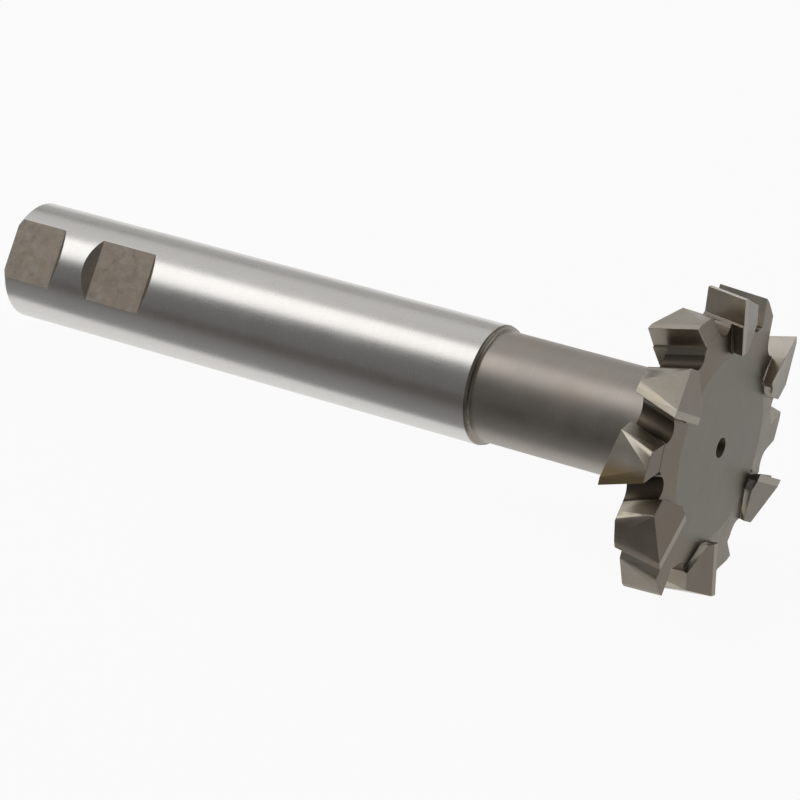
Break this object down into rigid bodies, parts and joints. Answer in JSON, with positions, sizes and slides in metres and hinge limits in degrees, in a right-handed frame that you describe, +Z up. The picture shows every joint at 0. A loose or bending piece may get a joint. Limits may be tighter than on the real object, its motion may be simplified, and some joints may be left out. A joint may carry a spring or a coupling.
{
  "type": "t slot cutter",
  "caption": "Long-reach T-slot milling cutter with staggered side-cutting teeth, a relieved neck and a straight shank with clamping flats.",
  "frame": {"origin": "middle of the box's base, on the surface that the tool lies on", "axes": "+X along the lying tool from the shank to the cutting head, +Z up; the tool axis rises 6.343 degrees towards the head"},
  "size_m": [0.1736, 0.0622, 0.0622],
  "materials": {
    "tool_steel": "ground and satin, duller on the neck and the flats"
  },
  "bodies": {
    "root": {"t_slot_cutter": "tool_steel"}
  },
  "joints": []
}
